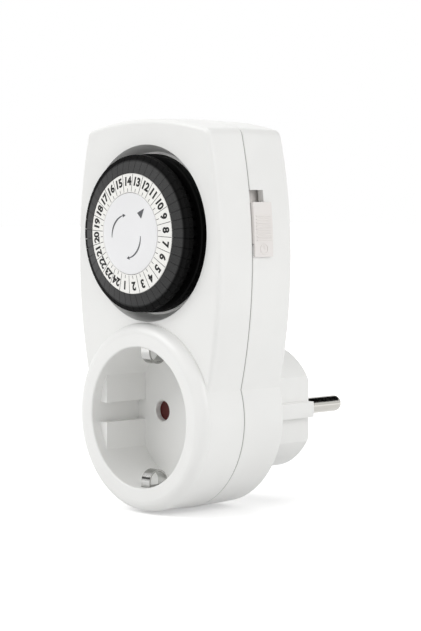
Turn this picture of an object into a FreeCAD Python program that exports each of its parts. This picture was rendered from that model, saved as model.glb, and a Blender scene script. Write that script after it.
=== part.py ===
import FreeCAD, Part
import math
import os
import re
import Sketcher
from FreeCAD import Placement, Rotation, Vector

# A mechanical 24 hour timer switch that plugs into an earthed wall socket. Millimetres.
# The origin is the centre of the plug's face. X runs to the right, Z runs up, and Y points into the wall,
# so the dial and the socket cup face -Y. Inside each piece, Y is counted from the rim of the socket cup.

doc = FreeCAD.newDocument("PlugInTimer")
sheet = doc.addObject("Spreadsheet::Sheet", "Sizes")

# Driving dimensions: the word, its value and what it measures. "Back" means behind the rim of the cup.
SIZES = [
    ("RimDepth", 53.1, "the rim of the cup stands this far in front of the plug's face"),
    ("FaceBack", 3.3, "front face of the case"),
    ("SeamBack", 15.9, "parting line of the two shells"),
    ("CaseBack", 32.1, "rear face of the case"),
    ("WallThick", 2.0, "wall of both shells"),
    ("LowerRadius", 26.9, "round lower end of the case, at the parting line"),
    ("WaistHeight", 8.65, "where the round end meets the long sides"),
    ("SideHalf", 30.0, "half of the greatest width"),
    ("SideHeight", 44.5, "height of the greatest width"),
    ("CornerHalf", 25.6, "half the width between the upper corners"),
    ("CornerHeight", 80.7, "height of the upper corners"),
    ("TopHeight", 84.05, "crown of the top"),
    ("CornerRound", 2.2, "radius of the upper corners"),
    ("FaceRound", 1.2, "radius round the front face"),
    ("BackRound", 1.5, "radius round the rear face"),
    ("SeamBevel", 0.3, "bevel of each shell along the parting line"),
    ("FaceDraft", 0.2, "the shell narrows by this much at the front face"),
    ("BackDraft", 0.45, "the shell narrows by this much at the rear face"),
    ("CupRadius", 19.9, "socket cup, inside"),
    ("CupDepth", 17.8, "floor of the cup"),
    ("CupWall", 2.0, "wall and floor of the cup"),
    ("RimFlat", 23.6, "outer radius of the flat rim"),
    ("CollarRadius", 26.66, "outside of the collar"),
    ("CollarEdge", 2.7, "where the rounded collar becomes straight"),
    ("LugFlat", 16.75, "guide lugs, from the middle to their flat face"),
    ("LugSet", 3.0, "front of the guide lugs"),
    ("ChannelHalf", 2.85, "half the channel between two lugs"),
    ("PinHalf", 9.5, "half the distance between the two pins"),
    ("HoleRadius", 2.95, "pin holes in the cup's floor"),
    ("PinRadius", 2.4, "plug pins"),
    ("PinLength", 19.0, "free length of the plug pins"),
    ("PinNeck", 0.2, "the pins are thicker by this much where they pass through the plug's face"),
    ("PlugRadius", 18.05, "plug body"),
    ("PlugFlat", 15.35, "flat on each side of the plug body"),
    ("PlugRib", 2.2, "half the width of the rib on each flat"),
    ("PlugWall", 3.0, "face wall of the plug body"),
    ("PlugBore", 13.8, "hollow of the plug body"),
    ("DialHeight", 51.8, "axis of the dial above the axis of the socket"),
    ("DishRadius", 24.9, "dished recess at the front face"),
    ("DishFloor", 22.9, "dished recess at its floor"),
    ("DishDepth", 3.7, "depth of the recess"),
    ("DishHole", 20.9, "opening in the floor of the recess"),
    ("DialProud", 2.2, "number ring in front of the rim of the cup"),
    ("CapProud", 2.5, "centre cap in front of the rim of the cup"),
    ("CapRadius", 11.35, "centre cap"),
    ("CapThick", 1.2, "thickness of the centre cap"),
    ("RingInner", 11.7, "inside of the number ring"),
    ("RingOuter", 16.84, "outside of the number ring"),
    ("RingThick", 0.8, "thickness of the number ring"),
    ("FlangeRadius", 22.3, "rear flange of the segment carrier"),
    ("FlangeFront", 4.0, "front of that flange"),
    ("FlangeBack", 6.7, "back of that flange"),
    ("HeadInner", 16.95, "push segment, inside of its head"),
    ("HeadEdge", 20.4, "push segment, outer edge of its top face"),
    ("HeadOuter", 22.0, "push segment, outside of its head"),
    ("StemInner", 17.8, "push segment, inside of its stem"),
    ("StemOuter", 20.2, "push segment, outside of its stem"),
    ("FootBack", 9.4, "push segment, end of its foot"),
    ("SegmentGap", 0.35, "angle between two heads, degrees"),
    ("StemAngle", 4.6, "angle that a stem takes, degrees"),
    ("SlotPlay", 0.4, "angle that its slot is wider, degrees"),
    ("PostRadius", 5.0, "post that the dial turns on"),
    ("RunningFit", 0.05, "radial clearance of a turning piece"),
    ("PlateFront", 15.2, "front of the mechanism plate"),
    ("PlateBack", 17.2, "back of the mechanism plate"),
    ("ToothModule", 0.5, "module of the gear train"),
    ("MotorRadius", 14.0, "motor can"),
    ("MotorBack", 28.2, "rear end of the motor can"),
    ("ScrewHalf", 20.5, "upper case screws, half their spacing"),
    ("ScrewTop", 75.5, "upper case screws, height"),
    ("ScrewLow", 17.0, "lower case screws, height"),
    ("SliderLow", 45.6, "lower end of the override slider's cap"),
    ("SliderTop", 60.7, "upper end of the cap"),
    ("SliderBack", 23.1, "rear edge of the cap"),
    ("SlotLow", 48.9, "lower end of the slider's slot"),
    ("SlotTop", 64.0, "upper end of the slot"),
    ("SlotBack", 21.1, "rear edge of the slot"),
    ("LeverHeight", 52.0, "hinge pin of the switch lever"),
    ("LeverBack", 14.0, "hinge pin of the switch lever, behind the rim"),
    ("StripThick", 0.5, "sheet of the contacts and earth clips"),
    ("ClipHalf", 1.7, "half the width of an earth clip"),
]

for row, (word, value, note) in enumerate(SIZES, start=1):
    sheet.set(f"A{row}", word)
    sheet.set(f"B{row}", str(value))
    sheet.set(f"C{row}", note)
    sheet.setAlias(f"B{row}", word)
doc.recompute()

# Tooth counts of the train, from the dial to the rotor, and the number of push segments.
DIAL_TEETH = 44
PINION_TEETH = 12
WHEEL_TEETH = 30
SMALL_TEETH = 10
HOURS = 24
SEGMENTS = 2 * HOURS


def bound(text):
    """An expression whose words any object of the document can read."""
    return re.sub(r"\b([A-Z]\w+)", r"Sizes.\1", str(text))


def size(text):
    """The number that an expression gives now."""
    if isinstance(text, str):
        return float(sheet.evalExpression(bound(text)))
    return float(text)


def tie(thing, field, text):
    """Keep a field bound to an expression of the sheet's words."""
    thing.setExpression(field, bound(text))


def new_body(name, right="0", up="0", turn=0.0):
    """A body whose own origin lies in the plane of the cup's rim; turn is anticlockwise seen from the front."""
    body = doc.addObject("PartDesign::Body", name)
    body.Label = name
    body.AllowCompound = True
    spot = Vector(size(right), -size("RimDepth"), size(up))
    body.Placement = Placement(spot, Rotation(Vector(0, -1, 0), turn))
    tie(body, "Placement.Base.y", "-RimDepth")
    if isinstance(right, str):
        tie(body, "Placement.Base.x", right)
    if isinstance(up, str):
        tie(body, "Placement.Base.z", up)
    return body


def sketch_on(body, name, role, offset):
    """A sketch on one of the body's own planes, moved along the plane's normal."""
    sketch = body.newObject("Sketcher::SketchObject", name)
    plane = next(item for item in body.Origin.OriginFeatures if item.Role == role)
    sketch.AttachmentSupport = [(plane, "")]
    sketch.MapMode = "FlatFace"
    tie(sketch, "AttachmentOffset.Base.z", offset)
    return sketch


def across(body, name, back="0"):
    """A sketch square to the socket's axis, so far behind the rim: its x is right and its y is up."""
    return sketch_on(body, name, "XZ_Plane", f"-({back})")


def lengthwise(body, name, right="0"):
    """A sketch along the socket's axis: its x runs back from the rim and its y is up."""
    return sketch_on(body, name, "YZ_Plane", right)


def datum(sketch, kind, text):
    """One dimension of a sketch, bound to the sheet."""
    number = sketch.addConstraint(Sketcher.Constraint(*kind, size(text)))
    if isinstance(text, str):
        tie(sketch, f"Constraints[{number}]", text)


def circle(sketch, radius, x="0", y="0"):
    """A full circle."""
    middle = Vector(size(x), size(y), 0)
    number = sketch.addGeometry(Part.Circle(middle, Vector(0, 0, 1), size(radius)), False)
    datum(sketch, ("Radius", number), radius)
    datum(sketch, ("DistanceX", -1, 1, number, 3), x)
    datum(sketch, ("DistanceY", -1, 1, number, 3), y)


def end_at(sketch, number, spot):
    """Which end of a line or arc lies at a spot: 1 for its start, 2 for its end."""
    near = [(sketch.getPoint(number, end) - spot).Length for end in (1, 2)]
    return 1 if near[0] <= near[1] else 2


def outline(sketch, corners):
    """A closed outline. A corner is (x, y), or (x, y, (via x, via y)) where an arc leads to the next one."""
    spots = [Vector(size(corner[0]), size(corner[1]), 0) for corner in corners]
    count = len(corners)
    first = sketch.GeometryCount
    for number, corner in enumerate(corners):
        after = spots[(number + 1) % count]
        if len(corner) == 3:
            via = Vector(size(corner[2][0]), size(corner[2][1]), 0)
            sketch.addGeometry(Part.Arc(spots[number], via, after), False)
        else:
            sketch.addGeometry(Part.LineSegment(spots[number], after), False)
    ends = []
    for number in range(count):
        before = first + (number - 1) % count
        here = first + number
        spot = spots[number]
        ends.append((before, end_at(sketch, before, spot), here, end_at(sketch, here, spot)))
    for joint in ends:
        sketch.addConstraint(Sketcher.Constraint("Coincident", *joint))
    for number, corner in enumerate(corners):
        datum(sketch, ("DistanceX", -1, 1, ends[number][2], ends[number][3]), corner[0])
        datum(sketch, ("DistanceY", -1, 1, ends[number][2], ends[number][3]), corner[1])
        if len(corner) == 3:
            via = Vector(size(corner[2][0]), size(corner[2][1]), 0)
            mark = sketch.addGeometry(Part.Point(via), True)
            datum(sketch, ("DistanceX", -1, 1, mark, 1), corner[2][0])
            datum(sketch, ("DistanceY", -1, 1, mark, 1), corner[2][1])
            sketch.addConstraint(Sketcher.Constraint("PointOnObject", mark, 1, first + number))


def box(sketch, left, low, right, high):
    """A rectangle by its two corners."""
    outline(sketch, [(left, low), (right, low), (right, high), (left, high)])


def add_feature(body, kind, sketch, length, to_normal, both_ways):
    """A pad or pocket of a sketch; to_normal says which way it grows, both_ways centres it on the sketch."""
    feature = body.newObject(f"PartDesign::{kind}", f"{sketch.Name}{kind}")
    feature.Profile = sketch
    tie(feature, "Length", length)
    if both_ways:
        feature.SideType = "Symmetric"
    else:
        grows_on_normal = kind == "Pad"
        feature.Reversed = to_normal != grows_on_normal
    sketch.Visibility = False
    doc.recompute()
    return feature


def pad_front(body, sketch, length):
    """Add material from the sketch towards the front."""
    return add_feature(body, "Pad", sketch, length, True, False)


def pad_back(body, sketch, length):
    """Add material from the sketch towards the back."""
    return add_feature(body, "Pad", sketch, length, False, False)


def pad_wide(body, sketch, length):
    """Add material on both sides of the sketch."""
    return add_feature(body, "Pad", sketch, length, True, True)


def cut_front(body, sketch, length):
    """Cut from the sketch towards the front."""
    return add_feature(body, "Pocket", sketch, length, True, False)


def cut_back(body, sketch, length):
    """Cut from the sketch towards the back."""
    return add_feature(body, "Pocket", sketch, length, False, False)


def cut_wide(body, sketch, length):
    """Cut on both sides of the sketch."""
    return add_feature(body, "Pocket", sketch, length, True, True)


def turned(body, sketch, kind="Revolution", angle=360.0):
    """A solid or groove turned about the body's Y axis from a lengthwise sketch."""
    feature = body.newObject(f"PartDesign::{kind}", f"{sketch.Name}{kind}")
    feature.Profile = sketch
    feature.ReferenceAxis = (sketch, ["H_Axis"])
    feature.Angle = angle
    feature.Midplane = angle < 360.0
    sketch.Visibility = False
    doc.recompute()
    return feature


def ring_of(body, feature, count, angle=360.0):
    """Repeat a feature round the body's Y axis."""
    pattern = body.newObject("PartDesign::PolarPattern", f"{feature.Name}Round")
    pattern.Originals = [feature]
    axis = next(item for item in body.Origin.OriginFeatures if item.Role == "Y_Axis")
    pattern.Axis = (axis, [""])
    pattern.Angle = angle
    pattern.Occurrences = count
    body.Tip = pattern
    doc.recompute()
    return pattern


def edges_where(shape, wanted):
    """Names of the edges whose middle point passes a test."""
    names = []
    for number, edge in enumerate(shape.Edges, start=1):
        first, last = edge.ParameterRange
        if wanted(edge, edge.valueAt((first + last) / 2)):
            names.append(f"Edge{number}")
    return names


def dress(body, kind, feature, wanted, radius):
    """Fillet or chamfer the edges of a feature that pass a test."""
    names = edges_where(feature.Shape, wanted)
    if not names:
        raise RuntimeError(f"{body.Label}: no edge to dress after {feature.Name}")
    dressing = body.newObject(f"PartDesign::{kind}", f"{feature.Name}{kind}")
    dressing.Base = (feature, names)
    tie(dressing, "Radius" if kind == "Fillet" else "Size", radius)
    doc.recompute()
    return dressing


def near(value, text, slack=0.02):
    """True where a coordinate has the value of an expression."""
    return abs(value - size(text)) < slack


def case_outline(sketch, inset):
    """Outline of the case seen from the front: a round lower end, two long bowed sides and a crowned top."""
    low = f"(LowerRadius - ({inset}))"
    waist = f"sqrt({low}^2 - WaistHeight^2)"
    side = f"(SideHalf - ({inset}))"
    side_end = f"(CornerHalf + 0.16 * CornerRound - ({inset}))"
    side_end_up = f"(CornerHeight - 0.87 * CornerRound - ({inset}))"
    top_end = f"(CornerHalf - 0.9 * CornerRound - ({inset}))"
    top_end_up = f"(CornerHeight + 0.26 * CornerRound - ({inset}))"
    round_mid = f"(CornerHalf - 0.16 * CornerRound - ({inset}))"
    round_mid_up = f"(CornerHeight - 0.16 * CornerRound - ({inset}))"
    outline(sketch, [
        (f"-{waist}", "WaistHeight", ("0", f"-{low}")),
        (waist, "WaistHeight", (side, "SideHeight")),
        (side_end, side_end_up, (round_mid, round_mid_up)),
        (top_end, top_end_up, ("0", f"TopHeight - ({inset})")),
        (f"-{top_end}", top_end_up, (f"-{round_mid}", round_mid_up)),
        (f"-{side_end}", side_end_up, (f"-{side}", "SideHeight")),
    ])


def shell(body, end_back, towards, draft, end_round):
    """One drafted half of the case as a solid block, bevelled along the parting line and rounded outside."""
    stations = [
        ("Seam", "SeamBack", "SeamBevel"),
        ("Wide", f"SeamBack {towards} SeamBevel", "0"),
        ("End", end_back, draft),
    ]
    if towards == "+":
        stations.reverse()
    sections = []
    for name, back, inset in stations:
        section = across(body, f"{body.Label}{name}", back)
        case_outline(section, inset)
        sections.append(section)
    loft = body.newObject("PartDesign::AdditiveLoft", f"{body.Label}Loft")
    loft.Profile = sections[0]
    loft.Sections = sections[1:]
    loft.Ruled = True
    doc.recompute()
    return dress(body, "Fillet", loft, lambda edge, spot: near(spot.y, end_back)
                 and (towards == "+" or spot.z > size("WaistHeight")), end_round)


# Front housing
# One moulding: the face shell, the collar and cup of the socket, the dished recess behind the dial and
# the posts that carry the mechanism plate and take the case screws.
def front_housing():
    body = new_body("front_housing")
    shell(body, "FaceBack", "-", "FaceDraft", "FaceRound")
    hollow = across(body, "FrontHollow", "SeamBack")
    case_outline(hollow, "WallThick")
    cut_front(body, hollow, "SeamBack - FaceBack - WallThick")

    collar = lengthwise(body, "Collar")
    outline(collar, [
        ("0", "0"),
        ("0", "RimFlat", ("0.8", "25.5")),
        ("CollarEdge", "CollarRadius"),
        ("FaceBack + 0.5", "CollarRadius"),
        ("FaceBack + 0.5", "CupRadius + CupWall"),
        ("CupDepth + CupWall", "CupRadius + CupWall"),
        ("CupDepth + CupWall", "0"),
    ])
    turned(body, collar)

    dish = across(body, "DishBody", "FaceBack + DishDepth + WallThick")
    circle(dish, "DishFloor + WallThick", y="DialHeight")
    pad_front(body, dish, "DishDepth + WallThick - 0.5")
    lobe = across(body, "DishRim", "FaceBack + DishDepth")
    circle(lobe, "DishRadius + WallThick", y="DialHeight")
    pad_front(body, lobe, "DishDepth - 0.5")

    for name, height, end in (("Upper", "ScrewTop", "PlateFront"), ("Lower", "ScrewLow", "SeamBack")):
        posts = across(body, f"{name}Posts", end)
        for side in ("-ScrewHalf", "ScrewHalf"):
            circle(posts, "3.0", side, height)
        pad_front(body, posts, f"{end} - FaceBack - 1")
        bores = across(body, f"{name}Bores", end)
        for side in ("-ScrewHalf", "ScrewHalf"):
            circle(bores, "1.32", side, height)
        cut_front(body, bores, "9")
    rests = across(body, "PlateRests", "PlateFront")
    for side in ("-23", "23"):
        circle(rests, "2.4", side, "30")
    pad_front(body, rests, "PlateFront - FaceBack - 1")

    cone = lengthwise(body, "DishCone")
    outline(cone, [
        ("FaceBack - 1", "DialHeight"),
        ("FaceBack - 1", "DialHeight + DishRadius"),
        ("FaceBack", "DialHeight + DishRadius"),
        ("FaceBack + DishDepth", "DialHeight + DishFloor"),
        ("FaceBack + DishDepth", "DialHeight + DishHole"),
        ("PlateFront", "DialHeight + DishHole"),
        ("PlateFront", "DialHeight"),
    ])
    axis = cone.addGeometry(Part.LineSegment(Vector(0, size("DialHeight"), 0),
                                             Vector(9, size("DialHeight"), 0)), True)
    cone.addConstraint(Sketcher.Constraint("Horizontal", axis))
    datum(cone, ("DistanceY", -1, 1, axis, 1), "DialHeight")
    groove = body.newObject("PartDesign::Groove", "DishGroove")
    groove.Profile = cone
    groove.ReferenceAxis = (cone, ["Axis0"])
    groove.Angle = 360
    doc.recompute()

    mouth = across(body, "CupMouth")
    circle(mouth, "CupRadius")
    cut_back(body, mouth, "LugSet")
    half_high = "sqrt(CupRadius^2 - LugFlat^2)"
    channel_end = "sqrt(CupRadius^2 - ChannelHalf^2)"
    cup = across(body, "CupBelowLugs", "LugSet - 0.5")
    outline(cup, [
        ("LugFlat", half_high, ("0", "CupRadius")),
        ("-LugFlat", half_high),
        ("-LugFlat", "ChannelHalf"),
        (f"-{channel_end}", "ChannelHalf", ("-CupRadius", "0")),
        (f"-{channel_end}", "-ChannelHalf"),
        ("-LugFlat", "-ChannelHalf"),
        ("-LugFlat", f"-{half_high}", ("0", "-CupRadius")),
        ("LugFlat", f"-{half_high}"),
        ("LugFlat", "-ChannelHalf"),
        (channel_end, "-ChannelHalf", ("CupRadius", "0")),
        (channel_end, "ChannelHalf"),
        ("LugFlat", "ChannelHalf"),
    ])
    cut_back(body, cup, "CupDepth - LugSet + 0.5")

    slots = lengthwise(body, "EarthSlots")
    box(slots, "2.6", "18.2", "10.2", "24")
    box(slots, "2.6", "-24", "10.2", "-18.2")
    cut_wide(body, slots, "2 * ClipHalf + 0.6")

    pivot = across(body, "ShutterPivot", "CupDepth + CupWall - 0.5")
    circle(pivot, "1.5")
    pad_back(body, pivot, "5.5")
    holes = across(body, "PinHoles", "CupDepth - 1")
    for side in ("-PinHalf", "PinHalf"):
        circle(holes, "HoleRadius", side)
    last = cut_back(body, holes, "CupWall + 2")
    last = dress(body, "Chamfer", last, lambda edge, spot: near(spot.y, "CupDepth")
                 and near(math.hypot(abs(spot.x) - size("PinHalf"), spot.z), "HoleRadius", 0.05), "0.35")
    dress(body, "Fillet", last, lambda edge, spot: near(spot.y, "0")
          and near(math.hypot(spot.x, spot.z), "CupRadius", 0.05), "0.5")
    return body


# Rear housing
# One moulding: the back shell, the plug body with its flats and side ribs, the screw pillars, the tower
# of the fixed contact and the slot of the override slider.
def rear_housing():
    body = new_body("rear_housing")
    shell(body, "CaseBack", "+", "BackDraft", "BackRound")
    hollow = across(body, "RearHollow", "SeamBack")
    case_outline(hollow, "WallThick")
    cut_back(body, hollow, "CaseBack - SeamBack - WallThick")

    plug = across(body, "PlugBody", "CaseBack - 1")
    half_high = "sqrt(PlugRadius^2 - PlugFlat^2)"
    rib_end = "sqrt(PlugRadius^2 - PlugRib^2)"
    outline(plug, [
        ("PlugFlat", half_high, ("0", "PlugRadius")),
        ("-PlugFlat", half_high),
        ("-PlugFlat", "PlugRib"),
        (f"-{rib_end}", "PlugRib", ("-PlugRadius", "0")),
        (f"-{rib_end}", "-PlugRib"),
        ("-PlugFlat", "-PlugRib"),
        ("-PlugFlat", f"-{half_high}", ("0", "-PlugRadius")),
        ("PlugFlat", f"-{half_high}"),
        ("PlugFlat", "-PlugRib"),
        (rib_end, "-PlugRib", ("PlugRadius", "0")),
        (rib_end, "PlugRib"),
        ("PlugFlat", "PlugRib"),
    ])
    last = pad_back(body, plug, "RimDepth - CaseBack + 1")
    dress(body, "Fillet", last, lambda edge, spot: near(spot.y, "RimDepth")
          and near(math.hypot(spot.x, spot.z), "PlugRadius", 0.05), "0.8")

    bore = across(body, "PlugHollow", "RimDepth - PlugWall")
    circle(bore, "PlugBore")
    cut_front(body, bore, "RimDepth - PlugWall - CaseBack + WallThick")
    pins = across(body, "PinSeats", "RimDepth - PlugWall - 1")
    for side in ("-PinHalf", "PinHalf"):
        circle(pins, "PinRadius + PinNeck + 0.02", side)
    cut_back(body, pins, "PlugWall + 2")

    recess = lengthwise(body, "EarthRecess")
    box(recess, "36.6", "16.9", "RimDepth + 1", "19")
    box(recess, "36.6", "-19", "RimDepth + 1", "-16.9")
    cut_wide(body, recess, "5.6")
    windows = lengthwise(body, "EarthWindows")
    box(windows, "36.6", "12", "38.2", "18")
    box(windows, "36.6", "-18", "38.2", "-12")
    cut_wide(body, windows, "5.6")

    for name, height, start in (("Upper", "ScrewTop", "PlateBack"), ("Lower", "ScrewLow", "SeamBack")):
        pillars = across(body, f"{name}Pillars", start)
        for side in ("-ScrewHalf", "ScrewHalf"):
            circle(pillars, "3.4", side, height)
        pad_back(body, pillars, f"CaseBack - {start} - 1")
        shanks = across(body, f"{name}Shanks", "SeamBack - 1")
        for side in ("-ScrewHalf", "ScrewHalf"):
            circle(shanks, "1.6", side, height)
        cut_back(body, shanks, "20")
        heads = across(body, f"{name}Heads", "29.1")
        for side in ("-ScrewHalf", "ScrewHalf"):
            circle(heads, "2.8", side, height)
        cut_back(body, heads, "4")

    tower = across(body, "ContactTower", "19.9")
    box(tower, "17", "62", "21", "73")
    pad_back(body, tower, "CaseBack - 19.9 - 1")
    slot = lengthwise(body, "SliderSlot", "30")
    box(slot, "SeamBack - 1", "SlotLow", "SlotBack", "SlotTop")
    cut_wide(body, slot, "8")
    return body


# Centre cap
# A thin round cap that does not turn. Its stem is pressed into the post and keeps the dial on.
def centre_cap():
    body = new_body("centre_cap", up="DialHeight")
    side = lengthwise(body, "CapSide")
    outline(side, [
        ("-CapProud", "0"),
        ("-CapProud", "CapRadius - 0.45", ("-CapProud + 0.13", "CapRadius - 0.13")),
        ("-CapProud + 0.45", "CapRadius"),
        ("CapThick - CapProud", "CapRadius"),
        ("CapThick - CapProud", "2.4"),
        ("8", "2.4"),
        ("8", "0"),
    ])
    turned(body, side)
    return body


# Mechanism plate
# A flat moulding across the case. Its hollow post carries the dial, its ear carries the switch lever,
# and the window on the right leaves room for the lever and its feeler.
def mechanism_plate():
    body = new_body("mechanism_plate")
    plate = across(body, "PlateOutline", "PlateFront")
    outline(plate, [
        ("-24.5", "27.5"),
        ("24.5", "27.5"),
        ("24.5", "48"),
        ("16", "48"),
        ("16", "55.5"),
        ("11.5", "55.5"),
        ("11.5", "72"),
        ("23.5", "72"),
        ("23.5", "77.6", ("0", "80.5")),
        ("-23.5", "77.6"),
    ])
    pad_back(body, plate, "PlateBack - PlateFront")
    post = across(body, "DialPost", "PlateFront + 0.5")
    circle(post, "PostRadius", y="DialHeight")
    pad_front(body, post, "PlateFront + 1")
    collar = across(body, "PostShoulder", "PlateFront + 0.5")
    circle(collar, "PostRadius + 0.8", y="DialHeight")
    pad_front(body, collar, "6.2")
    ear = across(body, "LeverEar", "PlateFront + 0.5")
    box(ear, "13.8", "49.2", "16", "54.8")
    pad_front(body, ear, "3.1")
    stem = across(body, "CapBore", "-2")
    circle(stem, "2.42", y="DialHeight")
    cut_back(body, stem, "12")
    pin = lengthwise(body, "LeverPinSeat", "15")
    circle(pin, "1.0", "LeverBack", "LeverHeight")
    cut_wide(body, pin, "6")
    holes = across(body, "PlateHoles", "PlateFront - 1")
    for side in ("-ScrewHalf", "ScrewHalf"):
        circle(holes, "1.7", side, "ScrewTop")
    circle(holes, "3.2", *spots["rotor"])
    for wheel in ("wheel_1", "wheel_2"):
        circle(holes, "0.76", *spots[wheel])
    cut_back(body, holes, "4")
    return body


def tooth_outline(sketch, teeth, turn):
    """One straight-sided tooth, cut back a little from the involute of a 25 degree stub tooth."""
    module = size("ToothModule")
    pressure = math.radians(25)
    pitch = module * teeth / 2
    base = pitch * math.cos(pressure)
    root = pitch - 1.05 * module
    tip = pitch + 0.8 * module
    play = 0.07

    def half_angle(radius):
        at_pitch = math.pi / (2 * teeth) - play / (2 * pitch)
        lean = math.acos(min(1.0, base / max(radius, base)))
        return at_pitch + (math.tan(pressure) - pressure) - (math.tan(lean) - lean)

    middle = math.radians(turn)
    corners = []
    for radius, side in ((root - 0.3, -1), (root, -1), (tip, -1), (tip, 1), (root, 1), (root - 0.3, 1)):
        angle = middle + side * half_angle(radius)
        corners.append((radius * math.cos(angle), radius * math.sin(angle)))
    for number, corner in enumerate(corners):
        after = corners[(number + 1) % len(corners)]
        sketch.addGeometry(Part.LineSegment(Vector(*corner, 0), Vector(*after, 0)), False)
    return root


def toothed(body, name, teeth, turn, back, length):
    """A spur gear: a core with a ring of teeth, from back towards the front; turn places one tooth."""
    one = across(body, f"{name}Tooth", back)
    root = tooth_outline(one, teeth, turn)
    core = across(body, f"{name}Core", back)
    circle(core, root)
    pad_front(body, core, length)
    tooth = pad_front(body, one, length)
    return ring_of(body, tooth, teeth)


def meshed_turn(turn, teeth, line, other_teeth):
    """Where the next gear has a tooth, if this one has a tooth at turn; line is the angle to its centre."""
    return line + 180 + 180 / other_teeth + (line - turn) * teeth / other_teeth


# The gear centres, laid out from the dial's axis by angle and by the sum of the two pitch radii.
lines = {"wheel_2": 150.0, "wheel_1": 60.0, "rotor": -30.0}
module = size("ToothModule")
reach_2 = module * (DIAL_TEETH + PINION_TEETH) / 2
reach_1 = module * (WHEEL_TEETH + SMALL_TEETH) / 2


def step(start, angle, length):
    """A centre at an angle and distance from another one."""
    return (start[0] + length * math.cos(math.radians(angle)), start[1] + length * math.sin(math.radians(angle)))


centre_2 = step((0.0, size("DialHeight")), lines["wheel_2"], reach_2)
centre_1 = step(centre_2, lines["wheel_1"], reach_1)
centre_rotor = step(centre_1, lines["rotor"], reach_1)
spots = {"wheel_2": centre_2, "wheel_1": centre_1, "rotor": centre_rotor}

# The middle of hour 8 stands 5 degrees above the right-hand side, and the dial gear turns with it.
HOUR_EIGHT = 5.0
SEGMENT_PITCH = 360.0 / SEGMENTS
drum_turn = (HOUR_EIGHT + SEGMENT_PITCH / 2 - 90) % SEGMENT_PITCH
turn_2 = meshed_turn(drum_turn, DIAL_TEETH, lines["wheel_2"], PINION_TEETH)
turn_1 = meshed_turn(0.0, WHEEL_TEETH, lines["wheel_1"], SMALL_TEETH)
turn_rotor = meshed_turn(0.0, WHEEL_TEETH, lines["rotor"], SMALL_TEETH)


# Segment carrier
# A black drum moulded in one with its rear flange, the 48 slots that guide the push segments, and the
# gear that the train drives.
def segment_carrier():
    body = new_body("segment_carrier", up="DialHeight", turn=drum_turn)
    side = lengthwise(body, "DrumSide")
    outline(side, [
        ("-CapProud + CapThick + 0.4", "PostRadius + RunningFit"),
        ("-CapProud + CapThick + 0.4", "RingInner"),
        ("RingThick - DialProud", "RingInner"),
        ("RingThick - DialProud", "RingOuter"),
        ("FlangeFront", "RingOuter"),
        ("FlangeFront", "FlangeRadius - 0.3"),
        ("FlangeFront + 0.3", "FlangeRadius"),
        ("FlangeBack", "FlangeRadius"),
        ("FlangeBack", "15.6"),
        ("0.8", "15.6"),
        ("0.8", "12.4"),
        ("FlangeBack", "12.4"),
        ("FlangeBack", "PostRadius + RunningFit"),
    ])
    turned(body, side)
    gear = across(body, "DialGearCore", "FlangeBack + 2.6")
    one = across(body, "DialTooth", "FlangeBack + 2.6")
    root = tooth_outline(one, DIAL_TEETH, 0.0)
    circle(gear, root)
    circle(gear, "PostRadius + RunningFit")
    pad_front(body, gear, "3.1")
    tooth = pad_front(body, one, "3.1")
    ring_of(body, tooth, DIAL_TEETH)
    well = lengthwise(body, "DrumWell")
    outline(well, [
        ("1.2", "6.8"),
        ("1.2", "9.2"),
        ("FlangeBack + 3", "9.2"),
        ("FlangeBack + 3", "6.8"),
    ])
    turned(body, well, "Groove")
    slot = lengthwise(body, "SegmentSlot")
    box(slot, "FlangeFront - 0.5", "StemInner - 0.1", "FlangeBack + 0.5", "StemOuter + 0.1")
    groove = turned(body, slot, "Groove", size("StemAngle + SlotPlay"))
    ring_of(body, groove, SEGMENTS)
    return body


# Number ring
# A thin white printed ring, snapped on the front of the drum.
def number_ring():
    body = new_body("number_ring", up="DialHeight")
    side = lengthwise(body, "RingSide")
    box(side, "-DialProud", "RingInner", "RingThick - DialProud", "RingOuter")
    turned(body, side)
    return body


# Push segments
# Each hour has two. The head is a wedge of the dial's outer ring with a sloping top and a bevelled edge,
# and the narrower stem slides through the carrier's flange. Both wedges are turned about the dial's axis.
def push_segments(hour):
    middle = HOUR_EIGHT + 2 * SEGMENT_PITCH * (hour - 8)
    body = new_body(f"segments_hour_{hour:02d}", up="DialHeight", turn=middle + SEGMENT_PITCH / 2 - 90)
    head = lengthwise(body, f"Head{hour}")
    outline(head, [
        ("-DialProud", "HeadInner"),
        ("-DialProud + 1.0", "HeadEdge"),
        ("-DialProud + 1.5", "HeadEdge + 0.45"),
        ("-DialProud + 1.7", "HeadOuter"),
        ("1.2", "HeadOuter"),
        ("1.4", "HeadInner"),
    ])
    turned(body, head, "Revolution", SEGMENT_PITCH - size("SegmentGap"))
    stem = lengthwise(body, f"Stem{hour}")
    box(stem, "1.0", "StemInner", "FootBack", "StemOuter")
    turned(body, stem, "Revolution", size("StemAngle"))
    pattern = body.newObject("PartDesign::PolarPattern", f"Pair{hour}")
    pattern.Originals = [item for item in body.Group if item.TypeId == "PartDesign::Revolution"]
    axis = next(item for item in body.Origin.OriginFeatures if item.Role == "Y_Axis")
    pattern.Axis = (axis, [""])
    pattern.Angle = SEGMENT_PITCH
    pattern.Occurrences = 2
    body.Tip = pattern
    return body


# Reduction wheels
# Two moulded wheels, each in one with its pinion, turn on steel arbors in front of the plate.
def reduction_wheel(number, pinion_teeth, pinion_turn, wheel_back, pinion_length):
    body = new_body(f"reduction_wheel_{number}", *spots[f"wheel_{number}"])
    toothed(body, f"Wheel{number}", WHEEL_TEETH, 0.0, wheel_back, "1.2")
    toothed(body, f"Pinion{number}", pinion_teeth, pinion_turn, f"{wheel_back} - 1.0", pinion_length)
    bore = across(body, f"WheelBore{number}", "0")
    circle(bore, "0.75 + RunningFit")
    cut_back(body, bore, "PlateBack")
    return body


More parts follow.
